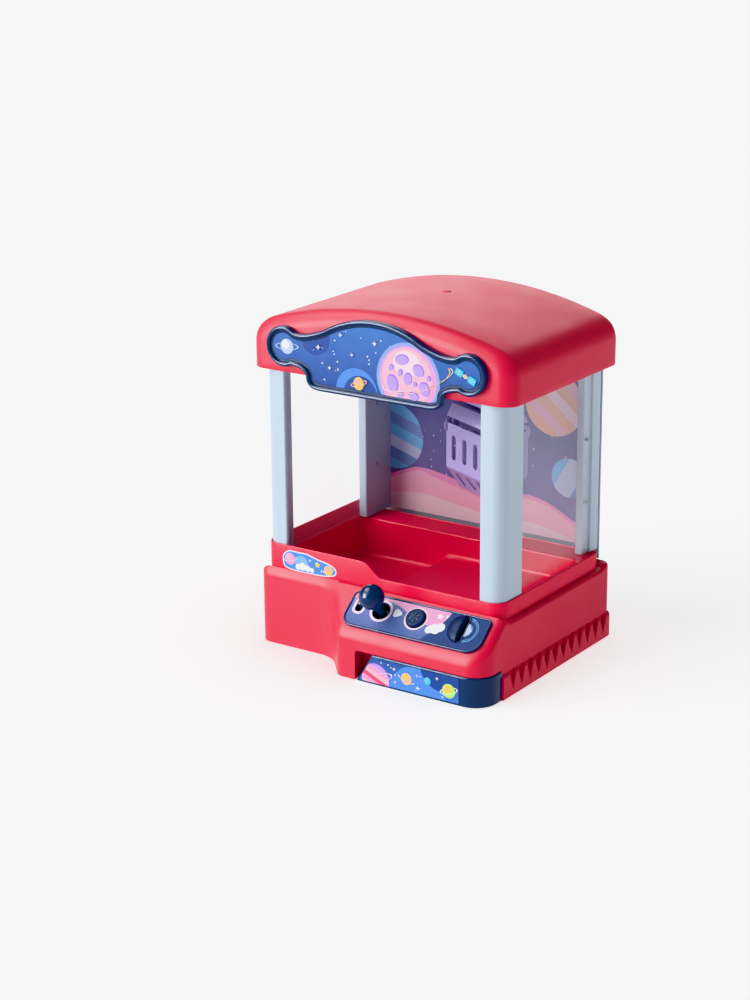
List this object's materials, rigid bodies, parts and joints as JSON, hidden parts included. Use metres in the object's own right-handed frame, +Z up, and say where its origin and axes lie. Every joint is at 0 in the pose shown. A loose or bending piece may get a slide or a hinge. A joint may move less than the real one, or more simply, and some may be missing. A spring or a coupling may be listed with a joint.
{
  "type": "toy claw crane machine",
  "caption": "Table-top toy claw machine: prize tray, four posts, vaulted roof, swinging boom with dropping two-jaw claw, joystick, button and coin drawer.",
  "frame": {"origin": "on the table, under the middle of the machine's outline", "axes": "+Z up, the player stands at -Y, +X to the player's right"},
  "size_m": [0.275, 0.234, 0.328],
  "materials": {
    "red_plastic": "satin moulded",
    "pale_blue_plastic": "satin moulded",
    "navy_plastic": "glossy",
    "purple_plastic": "satin moulded",
    "clear_plastic": "clear, slightly hazy",
    "printed_label": null,
    "printed_card": null,
    "dark_plastic": "matt moulded",
    "rubber": "matt",
    "circuit": "solder mask",
    "steel": "plated",
    "cord": "twisted"
  },
  "bodies": {
    "cabinet": {"control_plate": "navy_plastic", "control_label": "printed_label", "joystick_socket": "dark_plastic", "button_dome": "rubber", "circuit_board": "circuit", "switch_body": "dark_plastic", "coin_guide": "navy_plastic", "coin_chute": "dark_plastic", "base_shell": "red_plastic", "base_plate": "dark_plastic", "battery_cover": "dark_plastic", "foot_1": "rubber", "foot_2": "rubber", "foot_3": "rubber", "foot_4": "rubber", "prize_tray": "red_plastic", "front_left_post": "pale_blue_plastic", "rear_left_post": "pale_blue_plastic", "left_side_panel": "clear_plastic", "left_panel_screw_1": "steel", "left_panel_screw_2": "steel", "front_right_post": "pale_blue_plastic", "rear_right_post": "pale_blue_plastic", "right_side_panel": "clear_plastic", "right_panel_screw_1": "steel", "right_panel_screw_2": "steel", "backdrop_card": "printed_card", "back_panel": "pale_blue_plastic", "roof_shell": "red_plastic", "ceiling_plate": "pale_blue_plastic", "marquee_frame": "navy_plastic", "marquee_label": "printed_label", "tray_sticker": "printed_label", "battery_case": "dark_plastic", "battery_1": "steel", "battery_2": "steel", "battery_3": "steel", "speaker": "dark_plastic", "swing_motor": "steel", "motor_bracket": "dark_plastic"},
    "boom": {"boom": "pale_blue_plastic", "swing_gear": "dark_plastic"},
    "swing_pinion": {"swing_pinion": "dark_plastic"},
    "trolley": {"trolley": "purple_plastic", "lift_cord": "cord"},
    "winch_drum": {"winch_drum": "dark_plastic"},
    "claw_head": {"claw_head": "purple_plastic", "front_jaw_pin": "purple_plastic", "rear_jaw_pin": "purple_plastic"},
    "front_jaw": {"front_jaw": "purple_plastic"},
    "rear_jaw": {"rear_jaw": "purple_plastic"},
    "joystick_gimbal": {"joystick_gimbal": "dark_plastic"},
    "joystick": {"joystick_knob": "navy_plastic"},
    "push_button": {"push_button": "navy_plastic"},
    "power_switch": {"switch_slider": "dark_plastic"},
    "coin_drawer": {"coin_drawer": "navy_plastic", "drawer_label": "printed_label"}
  },
  "joints": [
    {"name": "boom_swing", "type": "hinge", "parent": "cabinet", "child": "boom", "pos_m": [0, 0.034, 0.255], "axis": [0, 0, 1], "range_deg": [-155, 20]},
    {"name": "pinion_spin", "type": "hinge", "parent": "cabinet", "child": "swing_pinion", "pos_m": [0, 0.07, 0.27], "axis": [0, 0, 1], "range_deg": [-65, 470]},
    {"name": "trolley_travel", "type": "slide", "parent": "boom", "child": "trolley", "axis": [0.9063, -0.4226, 0], "range_m": [-0.036, 0.004]},
    {"name": "claw_drop", "type": "slide", "parent": "trolley", "child": "claw_head", "axis": [0, 0, -1], "range_m": [0, 0.09], "deforming": ["lift_cord"]},
    {"name": "winch_spin", "type": "hinge", "parent": "trolley", "child": "winch_drum", "pos_m": [0.06553, 0.00345, 0.246], "axis": [0.4226, 0.9063, 0], "range_deg": [-10, 1730]},
    {"name": "front_jaw_close", "type": "hinge", "parent": "claw_head", "child": "front_jaw", "pos_m": [0.05729, -0.01423, 0.217], "axis": [0.9063, -0.4226, 0], "range_deg": [-20, 8]},
    {"name": "rear_jaw_close", "type": "hinge", "parent": "claw_head", "child": "rear_jaw", "pos_m": [0.07377, 0.02112, 0.217], "axis": [-0.9063, 0.4226, 0], "range_deg": [-20, 8]},
    {"name": "joystick_tilt_fore_aft", "type": "hinge", "parent": "cabinet", "child": "joystick_gimbal", "pos_m": [0.0147, -0.08345, 0.05484], "axis": [1, 0, 0], "range_deg": [-14, 14], "stiffness_Nm_per_rad": 0.03},
    {"name": "joystick_tilt_sideways", "type": "hinge", "parent": "joystick_gimbal", "child": "joystick", "pos_m": [0.0147, -0.08345, 0.05484], "axis": [0, 0.766, 0.6428], "range_deg": [-14, 14], "stiffness_Nm_per_rad": 0.03},
    {"name": "button_press", "type": "slide", "parent": "cabinet", "child": "push_button", "axis": [0, 0.6428, -0.766], "range_m": [0, 0.0025], "stiffness_N_per_m": 250, "springref_m": -0.002},
    {"name": "switch_throw", "type": "slide", "parent": "cabinet", "child": "power_switch", "axis": [0, -0.766, -0.6428], "range_m": [0, 0.0045]},
    {"name": "drawer_pull", "type": "slide", "parent": "cabinet", "child": "coin_drawer", "axis": [0, -1, 0], "range_m": [0, 0.045]}
  ],
  "couplings": [
    {"joint": "pinion_spin", "follows": "boom_swing", "ratio": -3},
    {"joint": "winch_spin", "follows": "claw_drop", "rad_per_m": 333.33},
    {"joint": "rear_jaw_close", "follows": "front_jaw_close", "ratio": 1}
  ]
}
